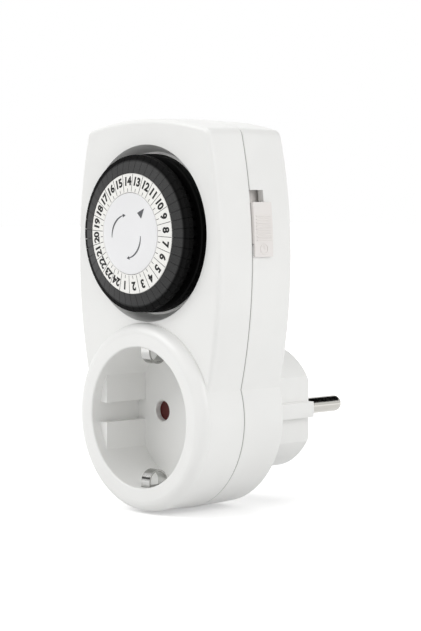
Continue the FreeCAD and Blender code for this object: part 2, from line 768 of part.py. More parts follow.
def wheel_arbors():
    body = new_body("wheel_arbors")
    pins = across(body, "Arbors", "PlateBack")
    circle(pins, "0.75", *spots["wheel_1"])
    pad_front(body, pins, "5.2")
    long_pin = across(body, "LongArbor", "PlateBack")
    circle(long_pin, "0.75", *spots["wheel_2"])
    pad_front(body, long_pin, "10")
    return body


# Motor
# A flat synchronous motor behind the plate: a drawn steel can with its end plate, a bobbin with its
# copper winding, and a magnet rotor on a steel shaft whose pinion reaches through the plate.
def motor_can():
    body = new_body("motor_can", *spots["rotor"])
    side = lengthwise(body, "CanSide")
    outline(side, [
        ("PlateBack + 0.6", "MotorRadius - 0.6"),
        ("PlateBack + 0.6", "MotorRadius"),
        ("MotorBack - 0.6", "MotorRadius"),
        ("MotorBack", "MotorRadius - 0.6"),
        ("MotorBack", "1.0 + RunningFit"),
        ("MotorBack - 0.6", "1.0 + RunningFit"),
        ("MotorBack - 0.6", "MotorRadius - 0.6"),
    ])
    turned(body, side)
    return body


def motor_end_plate():
    body = new_body("motor_end_plate", *spots["rotor"])
    disc = across(body, "EndDisc", "PlateBack")
    circle(disc, "MotorRadius")
    circle(disc, "3.2")
    pad_back(body, disc, "0.6")
    return body


def coil_bobbin():
    body = new_body("coil_bobbin", *spots["rotor"])
    side = lengthwise(body, "BobbinSide")
    outline(side, [
        ("PlateBack + 0.8", "8.2"),
        ("PlateBack + 0.8", "13.2"),
        ("PlateBack + 1.6", "13.2"),
        ("PlateBack + 1.6", "9.2"),
        ("MotorBack - 1.8", "9.2"),
        ("MotorBack - 1.8", "13.2"),
        ("MotorBack - 1.0", "13.2"),
        ("MotorBack - 1.0", "8.2"),
    ])
    turned(body, side)
    return body


def coil_winding():
    body = new_body("coil_winding", *spots["rotor"])
    side = lengthwise(body, "WindingSide")
    outline(side, [
        ("PlateBack + 1.6", "9.22"),
        ("PlateBack + 1.6", "12.5"),
        ("PlateBack + 2.2", "12.9"),
        ("MotorBack - 2.4", "12.9"),
        ("MotorBack - 1.8", "12.5"),
        ("MotorBack - 1.8", "9.22"),
    ])
    turned(body, side)
    return body


def rotor_magnet():
    body = new_body("rotor_magnet", *spots["rotor"])
    side = lengthwise(body, "MagnetSide")
    outline(side, [
        ("PlateBack + 2", "1.01"),
        ("PlateBack + 2", "6.7"),
        ("PlateBack + 2.3", "7.0"),
        ("MotorBack - 2.3", "7.0"),
        ("MotorBack - 2", "6.7"),
        ("MotorBack - 2", "1.01"),
    ])
    turned(body, side)
    return body


def rotor_shaft():
    body = new_body("rotor_shaft", *spots["rotor"])
    toothed(body, "RotorPinion", SMALL_TEETH, turn_rotor, "PlateFront - 0.2", "1.7")
    shaft = across(body, "RotorShaft", "MotorBack + 0.4")
    circle(shaft, "1.0")
    pad_front(body, shaft, "MotorBack - PlateFront + 1.1")
    return body


# Switch
# The lever is hinged on a pin in the plate's ear. Its feeler stands behind the feet of the segments at
# the time pointer, its finger rests on the slider's ramp, and its arm carries the moving contact.
def lever_pin():
    body = new_body("lever_pin")
    pin = lengthwise(body, "LeverPin", "13.8")
    circle(pin, "1.0", "LeverBack", "LeverHeight")
    add_feature(body, "Pad", pin, "7.8", True, False)
    return body


def switch_lever():
    body = new_body("switch_lever")
    hub = lengthwise(body, "LeverHub", "16.3")
    circle(hub, "1.8", "LeverBack", "LeverHeight")
    add_feature(body, "Pad", hub, "5.2", True, False)
    arm = lengthwise(body, "LeverArm", "17")
    box(arm, "LeverBack - 0.8", "LeverHeight", "LeverBack + 0.8", "LeverHeight + 18")
    add_feature(body, "Pad", arm, "4", True, False)
    feeler = across(body, "Feeler", "LeverBack + 0.6")
    box(feeler, "12.6", "63.4", "18", "65.8")
    pad_front(body, feeler, "2.4")
    finger = across(body, "Finger", "LeverBack + 0.8")
    box(finger, "20", "57.2", "24.5", "59.2")
    pad_front(body, finger, "0.9")
    bore = lengthwise(body, "LeverBore", "15")
    circle(bore, "1.0 + RunningFit", "LeverBack", "LeverHeight")
    cut_wide(body, bore, "16")
    return body


def contact(name, back, low, high, rivet_back):
    """A contact strip with its domed rivet at the height where the two contacts meet."""
    body = new_body(name, "19")
    strip = across(body, f"{name}Strip", back)
    box(strip, "-1.6", low, "1.6", high)
    pad_back(body, strip, "StripThick")
    rivet = across(body, f"{name}Rivet", rivet_back)
    circle(rivet, "1.4", y="LeverHeight + 16")
    last = pad_front(body, rivet, "0.9") if name == "fixed_contact" else pad_back(body, rivet, "0.9")
    face = f"{rivet_back} - 0.9" if name == "fixed_contact" else f"{rivet_back} + 0.9"
    dress(body, "Chamfer", last, lambda edge, spot: near(spot.y, face) and near(
        math.hypot(spot.x, spot.z - size("LeverHeight + 16")), "1.4", 0.05), "0.4")
    return body


# Override slider
# Outside, a bowed cap with eight grip ribs lies over the edge of its slot. A neck passes through the
# slot to a bowed inner plate, and a ramp on that plate moves the finger of the switch lever.
def bowed_strip(sketch, inner, outer, low, high):
    """A strip that follows the long side of the case, between two insets from it."""
    def bow(inset, height):
        return side_x(height) - inset
    middle = (low + high) / 2
    outline(sketch, [
        (bow(inner, low), low),
        (bow(outer, low), low, (bow(outer, middle), middle)),
        (bow(outer, high), high),
        (bow(inner, high), high, (bow(inner, middle), middle)),
    ])


def side_x(height):
    """Half width of the case at a height, on the arc of its long side."""
    foot = Vector(math.sqrt(size("LowerRadius") ** 2 - size("WaistHeight") ** 2), size("WaistHeight"), 0)
    wide = Vector(size("SideHalf"), size("SideHeight"), 0)
    corner = Vector(size("CornerHalf"), size("CornerHeight"), 0)
    bow = Part.Arc(foot, wide, corner).toShape().Curve
    return bow.Center.x + math.sqrt(bow.Radius ** 2 - (height - bow.Center.y) ** 2)


def override_slider():
    body = new_body("override_slider")
    low = size("SliderLow")
    top = size("SliderTop")
    cap = across(body, "SliderCap", "SeamBack + 0.2")
    bowed_strip(cap, -0.15, -0.75, low, top)
    pad_back(body, cap, "SliderBack - SeamBack - 0.2")
    inner = across(body, "SliderInner", "12")
    bowed_strip(inner, 4.3, 3.3, low, top + 4.6)
    pad_back(body, inner, "10.5")
    neck = across(body, "SliderNeck", "SeamBack + 0.6")
    bowed_strip(neck, 3.6, -0.3, low + 3.7, top - 0.3)
    pad_back(body, neck, "SlotBack - SeamBack - 0.8")
    ramp = lengthwise(body, "SliderRamp", "21.8")
    outline(ramp, [
        ("12", "53.4"),
        ("14.61", "53.4"),
        ("13.46", "58.5"),
        ("12", "58.5"),
    ])
    add_feature(body, "Pad", ramp, "4.6", True, False)
    for number in range(8):
        rib = across(body, f"GripRib{number}", "SeamBack + 0.9")
        height = 50.3 + 0.94 * number
        reach = side_x(height) + 0.45
        outline(rib, [
            (reach, height - 0.25),
            (reach + 0.55, height - 0.15),
            (reach + 0.55, height + 0.15),
            (reach, height + 0.25),
        ])
        pad_back(body, rib, "SliderBack - SeamBack - 1.6")
    return body


# Safety shutter
# A red bow tie behind the floor of the cup covers both pin holes. Two pins together turn it aside.
def safety_shutter():
    body = new_body("safety_shutter")
    blades = across(body, "ShutterBlades", "CupDepth + CupWall + 0.2")
    inner = Vector(3.2, 1.24, 0)
    outer = Vector(12.3, 4.8, 0)
    outline(blades, [
        (inner.x, inner.y),
        (outer.x, outer.y, (13.2, 0)),
        (outer.x, -outer.y),
        (inner.x, -inner.y, (0, -3.43)),
        (-inner.x, -inner.y),
        (-outer.x, -outer.y, (-13.2, 0)),
        (-outer.x, outer.y),
        (-inner.x, inner.y, (0, 3.43)),
    ])
    pad_back(body, blades, "2")
    bore = across(body, "ShutterBore", "CupDepth")
    circle(bore, "1.5 + RunningFit")
    cut_back(body, bore, "6")
    return body


# Shutter spring
# A flat spiral of spring strip behind the shutter, drawn as half circles about two centres in turn. Its
# inner end lies by the pivot and its outer end pushes the blades back over the pin holes.
def shutter_spring():
    body = new_body("shutter_spring")
    coil = across(body, "SpringCoil", "22.4")
    strip = 0.22
    growth = 0.25
    halves = []
    centre = 0.0
    for number in range(5):
        way = 1 if number % 2 == 0 else -1
        halves.append((centre, 1.97 + growth * number, way))
        centre -= way * growth
    corners = [(middle - way * radius, 0.0, (middle, way * radius)) for middle, radius, way in halves]
    middle, radius, way = halves[-1]
    corners.append((middle + way * radius, 0.0))
    for middle, radius, way in reversed(halves):
        radius -= strip
        corners.append((middle + way * radius, 0.0, (middle, way * radius)))
    middle, radius, way = halves[0]
    corners.append((middle - way * (radius - strip), 0.0))
    outline(coil, corners)
    pad_back(body, coil, "1.6")
    return body


# Plug pins
# Turned and plated pins with a round tip, a thicker neck in the plug's face and a flange behind it.
def plug_pin(side, place):
    body = new_body(f"plug_pin_{side}", place)
    half = lengthwise(body, f"Pin{side}")
    round_centre = "(RimDepth + PinLength - sqrt(PinRadius^2 - 0.3^2))"
    outline(half, [
        ("RimDepth - PlugWall - 2.6", "0"),
        ("RimDepth - PlugWall - 2.6", "1.6"),
        ("RimDepth - PlugWall - 1.2", "1.6"),
        ("RimDepth - PlugWall - 1.2", "3.5"),
        ("RimDepth - PlugWall", "3.5"),
        ("RimDepth - PlugWall", "PinRadius + PinNeck"),
        ("RimDepth", "PinRadius + PinNeck"),
        ("RimDepth", "PinRadius"),
        (round_centre, "PinRadius", (f"{round_centre} + 0.7071 * PinRadius", "0.7071 * PinRadius")),
        ("RimDepth + PinLength", "0.3"),
        ("RimDepth + PinLength", "0"),
    ])
    turned(body, half)
    return body


# Socket contacts
# Rolled sleeves that grip the pins of the plug put into the cup, each with a tail towards its own pin.
def socket_contact(side, place):
    body = new_body(f"socket_contact_{side}", place)
    sleeve = across(body, f"Sleeve{side}", "23")
    opening = math.radians(30)
    spring_in = 2.42
    spring_out = spring_in + size("StripThick")
    outline(sleeve, [
        (-spring_in * math.sin(opening), spring_in * math.cos(opening), (0, -spring_in)),
        (spring_in * math.sin(opening), spring_in * math.cos(opening)),
        (spring_out * math.sin(opening), spring_out * math.cos(opening), (0, -spring_out)),
        (-spring_out * math.sin(opening), spring_out * math.cos(opening)),
    ])
    pad_back(body, sleeve, "11")
    tail = lengthwise(body, f"Tail{side}")
    back = size("RimDepth - PlugWall - 2.6")
    outline(tail, [
        (33.5, -spring_out),
        (back, -spring_out),
        (back, 1.4),
        (back - 0.5, 1.4),
        (back - 0.5, 0.5 - spring_out),
        (33.5, 0.5 - spring_out),
    ])
    pad_wide(body, tail, "3")
    return body


# Earth parts
# A clip above and one below curl through slots into the cup. A bridge joins them behind the cup to the
# two side contacts of the plug. All are bent from one sheet thickness.
def earth_clip(side, sign):
    body = new_body(f"earth_clip_{side}")
    bend = lengthwise(body, f"Clip{side}")
    rise = f"{sign} * "
    outline(bend, [
        ("2.9", rise + "22.6"),
        ("2.9", rise + "18.4", ("6.3", rise + "15.0")),
        ("9.7", rise + "18.4"),
        ("9.7", rise + "22.9"),
        ("28.9", rise + "22.9"),
        ("28.9", rise + "(22.9 + StripThick)"),
        ("9.7 - StripThick", rise + "(22.9 + StripThick)"),
        ("9.7 - StripThick", rise + "18.4", ("6.3", rise + "(15.0 + StripThick)")),
        ("2.9 + StripThick", rise + "18.4"),
        ("2.9 + StripThick", rise + "22.6"),
    ])
    pad_wide(body, bend, "2 * ClipHalf")
    return body


def earth_bridge():
    body = new_body("earth_bridge")
    bar = across(body, "BridgeBar", "28.9")
    box(bar, "-3", "-23.4", "3", "23.4")
    pad_back(body, bar, "0.6")
    return body


def plug_earth_contact(side, sign):
    body = new_body(f"plug_earth_contact_{side}")
    bend = lengthwise(body, f"SideContact{side}")
    rise = f"{sign} * "
    outline(bend, [
        ("29.5", rise + "12.4"),
        ("37.7", rise + "12.4"),
        ("37.7", rise + "17.2"),
        ("40.5", rise + "17.2", ("46.2", rise + "17.55")),
        ("RimDepth - 0.6", rise + "17.0"),
        ("RimDepth - 0.6", rise + "(17.0 + StripThick)", ("46.2", rise + "18.05")),
        ("40.5", rise + "17.7"),
        ("37.7 - StripThick", rise + "17.7"),
        ("37.7 - StripThick", rise + "(12.4 + StripThick)"),
        ("29.5", rise + "(12.4 + StripThick)"),
    ])
    pad_wide(body, bend, "5")
    return body


# Case screws
# Four pan head screws reach from behind through the rear pillars into the posts of the front housing.
def housing_screws():
    body = new_body("housing_screws")
    shanks = across(body, "ScrewShanks", "29.3")
    heads = across(body, "ScrewHeads", "29.1")
    for side in ("-ScrewHalf", "ScrewHalf"):
        for height in ("ScrewLow", "ScrewTop"):
            circle(shanks, "1.3", side, height)
            circle(heads, "2.5", side, height)
    pad_front(body, shanks, "21")
    last = pad_back(body, heads, "1.8")
    dress(body, "Chamfer", last, lambda edge, spot: near(spot.y, "30.9"), "0.5")
    return body


pieces = [
    front_housing(),
    rear_housing(),
    centre_cap(),
    mechanism_plate(),
    segment_carrier(),
    number_ring(),
    reduction_wheel(1, SMALL_TEETH, turn_1, "14.8", "1.9"),
    reduction_wheel(2, PINION_TEETH, turn_2, "13.2", "5.1"),
    wheel_arbors(),
    motor_can(),
    motor_end_plate(),
    coil_bobbin(),
    coil_winding(),
    rotor_magnet(),
    rotor_shaft(),
    lever_pin(),
    switch_lever(),
    contact("moving_contact", "LeverBack + 0.8", "LeverHeight + 8", "LeverHeight + 18", "LeverBack + 1.3"),
    contact("fixed_contact", "19.4", "62.5", "71.5", "19.4"),
    override_slider(),
    safety_shutter(),
    shutter_spring(),
    plug_pin("left", "-PinHalf"),
    plug_pin("right", "PinHalf"),
    socket_contact("left", "-PinHalf"),
    socket_contact("right", "PinHalf"),
    earth_clip("upper", 1),
    earth_clip("lower", -1),
    earth_bridge(),
    plug_earth_contact("upper", 1),
    plug_earth_contact("lower", -1),
    housing_screws(),
]
for hour in range(1, HOURS + 1):
    pieces.append(push_segments(hour))
doc.recompute()

for item in doc.Objects:
    if "Invalid" in item.State or "Error" in item.State:
        raise RuntimeError(f"{item.Name} failed: {item.State}")
os.makedirs("parts", exist_ok=True)
for piece in pieces:
    if piece.Shape.isNull() or not piece.Shape.isValid():
        raise RuntimeError(f"{piece.Label} has no valid shape")
    piece.Shape.exportStep(f"parts/{piece.Label}.step")
print(len(pieces), "nodes written")
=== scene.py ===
import math
import bmesh
import bpy
from mathutils import Euler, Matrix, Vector


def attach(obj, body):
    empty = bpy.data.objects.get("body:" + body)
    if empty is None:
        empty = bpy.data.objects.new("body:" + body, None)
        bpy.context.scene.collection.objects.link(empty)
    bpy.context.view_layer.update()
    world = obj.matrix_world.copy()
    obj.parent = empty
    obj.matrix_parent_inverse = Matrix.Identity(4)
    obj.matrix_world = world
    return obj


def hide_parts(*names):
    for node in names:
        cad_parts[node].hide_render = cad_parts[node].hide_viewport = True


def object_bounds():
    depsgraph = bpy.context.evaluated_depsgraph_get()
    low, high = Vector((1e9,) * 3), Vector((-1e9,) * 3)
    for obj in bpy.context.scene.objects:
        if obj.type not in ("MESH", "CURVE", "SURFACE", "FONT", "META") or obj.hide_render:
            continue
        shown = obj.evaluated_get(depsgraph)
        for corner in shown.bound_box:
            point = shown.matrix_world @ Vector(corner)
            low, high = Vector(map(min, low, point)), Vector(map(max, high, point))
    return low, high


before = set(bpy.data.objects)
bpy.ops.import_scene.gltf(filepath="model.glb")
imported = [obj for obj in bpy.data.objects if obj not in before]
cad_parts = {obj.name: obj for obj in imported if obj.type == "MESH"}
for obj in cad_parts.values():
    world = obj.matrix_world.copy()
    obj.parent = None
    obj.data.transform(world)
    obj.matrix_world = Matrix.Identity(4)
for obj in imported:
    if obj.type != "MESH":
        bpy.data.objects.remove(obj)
cad_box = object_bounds()

# Studio
# A pale floor under soft lamps, with a white sky. The floor adds light of its own only towards the camera
# and mirrors, so it shows white and keeps the soft shadow of the timer.


def linear(hex_code):
    """Linear colour of an sRGB hex value."""
    parts = [int(hex_code[at:at + 2], 16) / 255 for at in (1, 3, 5)]
    return [part / 12.92 if part <= 0.04045 else ((part + 0.055) / 1.055) ** 2.4 for part in parts] + [1.0]


def add(tree, kind, sockets=None, **settings):
    """Adds a node. Each socket, by name or number, takes a value, an output or a list of outputs."""
    made = tree.nodes.new(kind)
    for name, value in settings.items():
        setattr(made, name, value)
    for name, value in (sockets or {}).items():
        sources = value if isinstance(value, list) else [value]
        if isinstance(sources[0], bpy.types.NodeSocket):
            for source in sources:
                tree.links.new(source, made.inputs[name])
        else:
            made.inputs[name].default_value = value
    return made


def blank(name):
    """A new material with an empty node tree."""
    made = bpy.data.materials.new(name)
    made.use_nodes = True
    made.node_tree.nodes.clear()
    return made, made.node_tree


def seen_directly(tree):
    """An output that is 1 for camera, mirror and transmission rays, and 0 for the light that falls."""
    rays = add(tree, "ShaderNodeLightPath")
    first = add(tree, "ShaderNodeMath", {0: rays.outputs["Is Camera Ray"], 1: rays.outputs["Is Glossy Ray"]},
                operation="ADD", use_clamp=True)
    both = add(tree, "ShaderNodeMath", {0: first.outputs[0], 1: rays.outputs["Is Transmission Ray"]},
               operation="ADD", use_clamp=True)
    return both.outputs[0]


def stand(name, data):
    """A new object in the scene, at the origin."""
    made = bpy.data.objects.new(name, data)
    bpy.context.scene.collection.objects.link(made)
    return made


def quad(name, corners, material):
    """A single flat face for the studio."""
    mesh = bpy.data.meshes.new(name)
    mesh.from_pydata(corners, [], [(0, 1, 2, 3)])
    mesh.materials.append(material)
    made = stand(name, mesh)
    return made


# The floor's own light grows from near the timer to its far part, where the lamps no longer reach it.
floor_paint, tree = blank("studio_floor")
direct = seen_directly(tree)
spot = add(tree, "ShaderNodeTexCoord")
away = add(tree, "ShaderNodeVectorMath", {0: spot.outputs["Object"]}, operation="LENGTH")
growth = add(tree, "ShaderNodeMapRange", {"Value": away.outputs["Value"], "From Min": 0.14, "From Max": 0.6,
                                          "To Min": 0.42, "To Max": 1.0})
lift = add(tree, "ShaderNodeMath", {0: direct, 1: growth.outputs[0]}, operation="MULTIPLY")
board = add(tree, "ShaderNodeBsdfDiffuse", {"Color": linear("#e9e9e9")})
glow = add(tree, "ShaderNodeEmission", {"Color": (1, 1, 1, 1), "Strength": lift.outputs[0]})
both = add(tree, "ShaderNodeAddShader", {0: board.outputs[0], 1: glow.outputs[0]})
add(tree, "ShaderNodeOutputMaterial", {"Surface": both.outputs[0]})
FLOOR_HALF = 3.0
floor_up = cad_box[0][2] - 0.0004
quad("studio_ground", [(-FLOOR_HALF, -FLOOR_HALF, floor_up), (FLOOR_HALF, -FLOOR_HALF, floor_up),
                       (FLOOR_HALF, FLOOR_HALF, floor_up), (-FLOOR_HALF, FLOOR_HALF, floor_up)], floor_paint)

world = bpy.data.worlds.new("studio_white")
bpy.context.scene.world = world
world.use_nodes = True
tree = world.node_tree
tree.nodes.clear()
sky_level = add(tree, "ShaderNodeMapRange", {"Value": seen_directly(tree), "To Min": 0.70, "To Max": 1.0})
sky = add(tree, "ShaderNodeBackground", {"Color": (1, 1, 1, 1), "Strength": sky_level.outputs[0]})
add(tree, "ShaderNodeOutputWorld", {"Surface": sky.outputs[0]})

LAMP_TARGET = Vector((0, -0.02, 0.03))
for name, place, size, power in (
    ("lamp_front_left", (-0.75, -1.15, 1.05), 0.9, 9.6),
    ("lamp_right", (1.30, 0.25, 0.60), 0.9, 4.8),
    ("lamp_above", (0.1, 0.35, 1.5), 1.0, 3.5),
):
    data = bpy.data.lights.new(name, "AREA")
    data.shape = "DISK"
    data.size = size
    data.energy = power
    lamp = stand(name, data)
    lamp.location = place
    lamp.rotation_euler = (LAMP_TARGET - Vector(place)).to_track_quat("-Z", "Y").to_euler()

# Two dark cards beside the set give the bare metal its dark reflections. The camera doesn't see them.
flag_felt, tree = blank("black_flag_cloth")
felt = add(tree, "ShaderNodeBsdfDiffuse", {"Color": linear("#0c0c0c")})
add(tree, "ShaderNodeOutputMaterial", {"Surface": felt.outputs[0]})
for name, corners in (
    ("flag_behind", [(-0.25, 0.45, 0.24), (0.40, 0.45, 0.24), (0.40, 0.45, 0.75), (-0.25, 0.45, 0.75)]),
    ("flag_left", [(-0.50, -0.28, 0.08), (-0.38, -0.44, 0.08), (-0.38, -0.44, 0.22), (-0.50, -0.28, 0.22)]),
):
    quad(name, corners, flag_felt).visible_camera = False

eye = bpy.data.cameras.new("camera")
eye.sensor_width = 36
eye.lens = 124.27
eye.clip_start = 0.01
camera = stand("camera", eye)
yaw = math.radians(46.70)
pitch = math.radians(3.53)
look = Vector((-math.sin(yaw) * math.cos(pitch), math.cos(yaw) * math.cos(pitch), -math.sin(pitch)))
camera.location = (0.45758, -0.45612, 0.06644)
camera.rotation_euler = look.to_track_quat("-Z", "Y").to_euler()
bpy.context.scene.camera = camera
bpy.context.scene.view_settings.view_transform = "Standard"

# Housing shells
# Two halves moulded in white ABS with PC, polished to a satin and screwed together from behind. The mould
# leaves a fine even grain, so highlights are soft and slightly broken.


def moulded(name, hex_code, darker, roughness, grain_mm, depth_mm, specular=0.5):
    """A moulded plastic: a body colour that drifts over 18 mm, with a fine grain that breaks the shine."""
    # The grain is drawn a few times coarser than a spark eroded mould gives, so that it shows.
    made, tree = blank(name)
    spot = add(tree, "ShaderNodeTexCoord")
    cloud = add(tree, "ShaderNodeTexNoise", {"Vector": spot.outputs["Object"], "Scale": 1 / 0.018,
                                             "Detail": 2.0})
    tone = add(tree, "ShaderNodeValToRGB", {"Fac": cloud.outputs["Fac"]})
    tone.color_ramp.elements[0].color = linear(darker)
    tone.color_ramp.elements[0].position = 0.3
    tone.color_ramp.elements[1].color = linear(hex_code)
    tone.color_ramp.elements[1].position = 0.62
    grain = add(tree, "ShaderNodeTexNoise", {"Vector": spot.outputs["Object"], "Scale": 1000 / grain_mm,
                                             "Detail": 3.0, "Roughness": 0.6})
    dull = add(tree, "ShaderNodeMapRange", {"Value": grain.outputs["Fac"], "From Min": 0.3, "From Max": 0.7,
                                            "To Min": roughness - 0.05, "To Max": roughness + 0.06})
    bump = add(tree, "ShaderNodeBump", {"Height": grain.outputs["Fac"], "Strength": 0.5,
                                        "Distance": depth_mm / 1000})
    skin = add(tree, "ShaderNodeBsdfPrincipled", {
        "Base Color": tone.outputs[0], "Roughness": dull.outputs[0], "Normal": bump.outputs[0],
        "IOR": 1.53, "Specular IOR Level": specular})
    add(tree, "ShaderNodeOutputMaterial", {"Surface": skin.outputs[0]})
    return made


def wear(material, *nodes):
    """Gives carried-over nodes a material."""
    for node in nodes:
        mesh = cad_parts[node].data
        mesh.materials.clear()
        mesh.materials.append(material)


# White ABS: a neutral white, hardly darker in its cloudy parts, with a broad soft highlight.
white_shell = moulded("moulded_white_abs", "#eeeeec", "#ebebe9", 0.34, 0.30, 0.012)

# The parting line holds a thin grey line of painted shadow and of dust, fading out 0.2 mm to each side
# of it. The mask stops it inside the cup, whose wall crosses the same depth.
SEAM_DEPTH = 0.0372
CUP_REACH = 0.0215
tree = white_shell.node_tree
skin = next(each for each in tree.nodes if each.type == "BSDF_PRINCIPLED")
tone = skin.inputs["Base Color"].links[0].from_socket
spot = add(tree, "ShaderNodeTexCoord")
place = add(tree, "ShaderNodeSeparateXYZ", {0: spot.outputs["Object"]})
off = add(tree, "ShaderNodeMath", {0: place.outputs["Y"], 1: SEAM_DEPTH}, operation="ADD")
off = add(tree, "ShaderNodeMath", {0: off.outputs[0]}, operation="ABSOLUTE")
line = add(tree, "ShaderNodeMapRange", {"Value": off.outputs[0], "From Min": 0.00008, "From Max": 0.00020,
                                        "To Min": 0.85, "To Max": 0.0})
flat = add(tree, "ShaderNodeCombineXYZ", {"X": place.outputs["X"], "Z": place.outputs["Z"]})
from_cup = add(tree, "ShaderNodeVectorMath", {0: flat.outputs[0]}, operation="LENGTH")
outside = add(tree, "ShaderNodeMath", {0: from_cup.outputs["Value"], 1: CUP_REACH}, operation="GREATER_THAN")
line = add(tree, "ShaderNodeMath", {0: line.outputs[0], 1: outside.outputs[0]}, operation="MULTIPLY")
# Painted shadow, with dust: the thin grey line along the parting line.
shadow_and_dust_line = add(tree, "ShaderNodeMix", {0: line.outputs[0], 6: tone, 7: linear("#8e8e8b")}, data_type="RGBA")
tree.links.new(shadow_and_dust_line.outputs[2], skin.inputs["Base Color"])
wear(white_shell, "front_housing", "rear_housing")

# Case screws
# Four zinc plated pan head screws with a cross recess hold the shells together from behind. The heads
# sit deep in their wells and are turned, so each has a flat top and a bevelled rim.


def metal(name, hex_code, roughness, line_mm, axis_turned):
    """A bare metal with fine tool lines, either round the Y axis or along the strip."""
    made, tree = blank(name)
    spot = add(tree, "ShaderNodeTexCoord")
    stretch = (0.02, 1.0, 0.02) if axis_turned else (1.0, 0.03, 0.03)
    lay = add(tree, "ShaderNodeMapping", {"Vector": spot.outputs["Object"], "Scale": stretch})
    lines = add(tree, "ShaderNodeTexNoise", {"Vector": lay.outputs[0], "Scale": 1000 / line_mm,
                                             "Detail": 2.0})
    stain = add(tree, "ShaderNodeTexNoise", {"Vector": spot.outputs["Object"], "Scale": 1 / 0.004,
                                             "Detail": 2.0})
    dull = add(tree, "ShaderNodeMapRange", {"Value": stain.outputs["Fac"], "From Min": 0.3, "From Max": 0.7,
                                            "To Min": roughness * 0.85, "To Max": roughness * 1.25})
    bump = add(tree, "ShaderNodeBump", {"Height": lines.outputs["Fac"], "Strength": 0.35,
                                        "Distance": 0.00002})
    skin = add(tree, "ShaderNodeBsdfPrincipled", {
        "Base Color": linear(hex_code), "Metallic": 1.0, "Roughness": dull.outputs[0],
        "Normal": bump.outputs[0]})
    add(tree, "ShaderNodeOutputMaterial", {"Surface": skin.outputs[0]})
    return made


def socketed(name, sockets):
    """A geometry tree with named inputs, and its own input node."""
    tree = bpy.data.node_groups.new(name, "GeometryNodeTree")
    for label, kind in sockets:
        tree.interface.new_socket(label, in_out="INPUT", socket_type=kind)
    tree.interface.new_socket("Geometry", in_out="OUTPUT", socket_type="NodeSocketGeometry")
    return tree, tree.nodes.new("NodeGroupInput")


def grown(tree, name, values):
    """The tree's result as a plain mesh object, with the modifier gone."""
    seed = stand(name, bpy.data.meshes.new(name + "_seed"))
    change = seed.modifiers.new("grow", "NODES")
    change.node_group = tree
    for item in tree.interface.items_tree:
        if item.in_out == "INPUT" and item.name in values:
            change[item.identifier] = values[item.name]
    bpy.context.view_layer.update()
    done = seed.evaluated_get(bpy.context.evaluated_depsgraph_get())
    mesh = bpy.data.meshes.new_from_object(done)
    bpy.data.objects.remove(seed)
    mesh.name = name
    return stand(name, mesh)


# Dull blue-white zinc, with rings from the turning of the head.
zinc = metal("zinc_plated_steel", "#b9bab8", 0.34, 0.06, True)
tree, given = socketed("case_screw", [
    ("Across", "NodeSocketFloat"), ("Up", "NodeSocketFloat"), ("Centre", "NodeSocketVector"),
    ("Head Radius", "NodeSocketFloat"), ("Head Height", "NodeSocketFloat"),
    ("Shank Radius", "NodeSocketFloat"), ("Shank Length", "NodeSocketFloat"),
    ("Recess", "NodeSocketVector"), ("Finish", "NodeSocketMaterial")])
of = given.outputs
places = add(tree, "GeometryNodeMeshGrid", {"Size X": of["Across"], "Size Y": of["Up"],
                                            "Vertices X": 2, "Vertices Y": 2})
rim_height = add(tree, "ShaderNodeMath", {0: of["Head Height"], 1: 0.7}, operation="MULTIPLY")
head = add(tree, "GeometryNodeMeshCylinder", {"Vertices": 40, "Radius": of["Head Radius"],
                                              "Depth": rim_height.outputs[0]})
crown_height = add(tree, "ShaderNodeMath", {0: of["Head Height"], 1: 0.3}, operation="MULTIPLY")
crown_radius = add(tree, "ShaderNodeMath", {0: of["Head Radius"], 1: 0.78}, operation="MULTIPLY")
crown = add(tree, "GeometryNodeMeshCone", {"Vertices": 40, "Radius Top": crown_radius.outputs[0],
                                           "Radius Bottom": of["Head Radius"],
                                           "Depth": crown_height.outputs[0]})
crown_up = add(tree, "ShaderNodeMath", {0: of["Head Height"], 1: 0.35}, operation="MULTIPLY")
crown_at = add(tree, "ShaderNodeCombineXYZ", {"Z": crown_up.outputs[0]})
crown_set = add(tree, "GeometryNodeTransform", {"Geometry": crown.outputs["Mesh"],
                                                "Translation": crown_at.outputs[0]})
one_head = add(tree, "GeometryNodeMeshBoolean", {"Mesh 2": [head.outputs["Mesh"], crown_set.outputs[0]]},
               operation="UNION")
slit = add(tree, "GeometryNodeMeshCube", {"Size": of["Recess"]})
slit_set = add(tree, "GeometryNodeTransform", {"Geometry": slit.outputs["Mesh"],
                                               "Translation": crown_at.outputs[0]})
slit_turned = add(tree, "GeometryNodeTransform", {"Geometry": slit_set.outputs[0],
                                                  "Rotation": Euler((0, 0, math.pi / 2))})
cross = add(tree, "GeometryNodeMeshBoolean", {"Mesh 2": [slit_set.outputs[0], slit_turned.outputs[0]]},
            operation="UNION")
cut_head = add(tree, "GeometryNodeMeshBoolean", {"Mesh 1": one_head.outputs["Mesh"],
                                                 "Mesh 2": cross.outputs["Mesh"]}, operation="DIFFERENCE")
shank = add(tree, "GeometryNodeMeshCylinder", {"Vertices": 24, "Radius": of["Shank Radius"],
                                               "Depth": of["Shank Length"]})
shank_down = add(tree, "ShaderNodeMath", {0: of["Shank Length"], 1: -0.5}, operation="MULTIPLY")
shank_at = add(tree, "ShaderNodeCombineXYZ", {"Z": shank_down.outputs[0]})
shank_set = add(tree, "GeometryNodeTransform", {"Geometry": shank.outputs["Mesh"],
                                                "Translation": shank_at.outputs[0]})
screw = add(tree, "GeometryNodeJoinGeometry", {0: [cut_head.outputs["Mesh"], shank_set.outputs[0]]})
spread = add(tree, "GeometryNodeInstanceOnPoints", {"Points": places.outputs["Mesh"],
                                                    "Instance": screw.outputs[0]})
placed = add(tree, "GeometryNodeTransform", {"Geometry": spread.outputs[0], "Translation": of["Centre"],
                                             "Rotation": Euler((-math.pi / 2, 0, 0))})
solid = add(tree, "GeometryNodeRealizeInstances", {"Geometry": placed.outputs[0]})
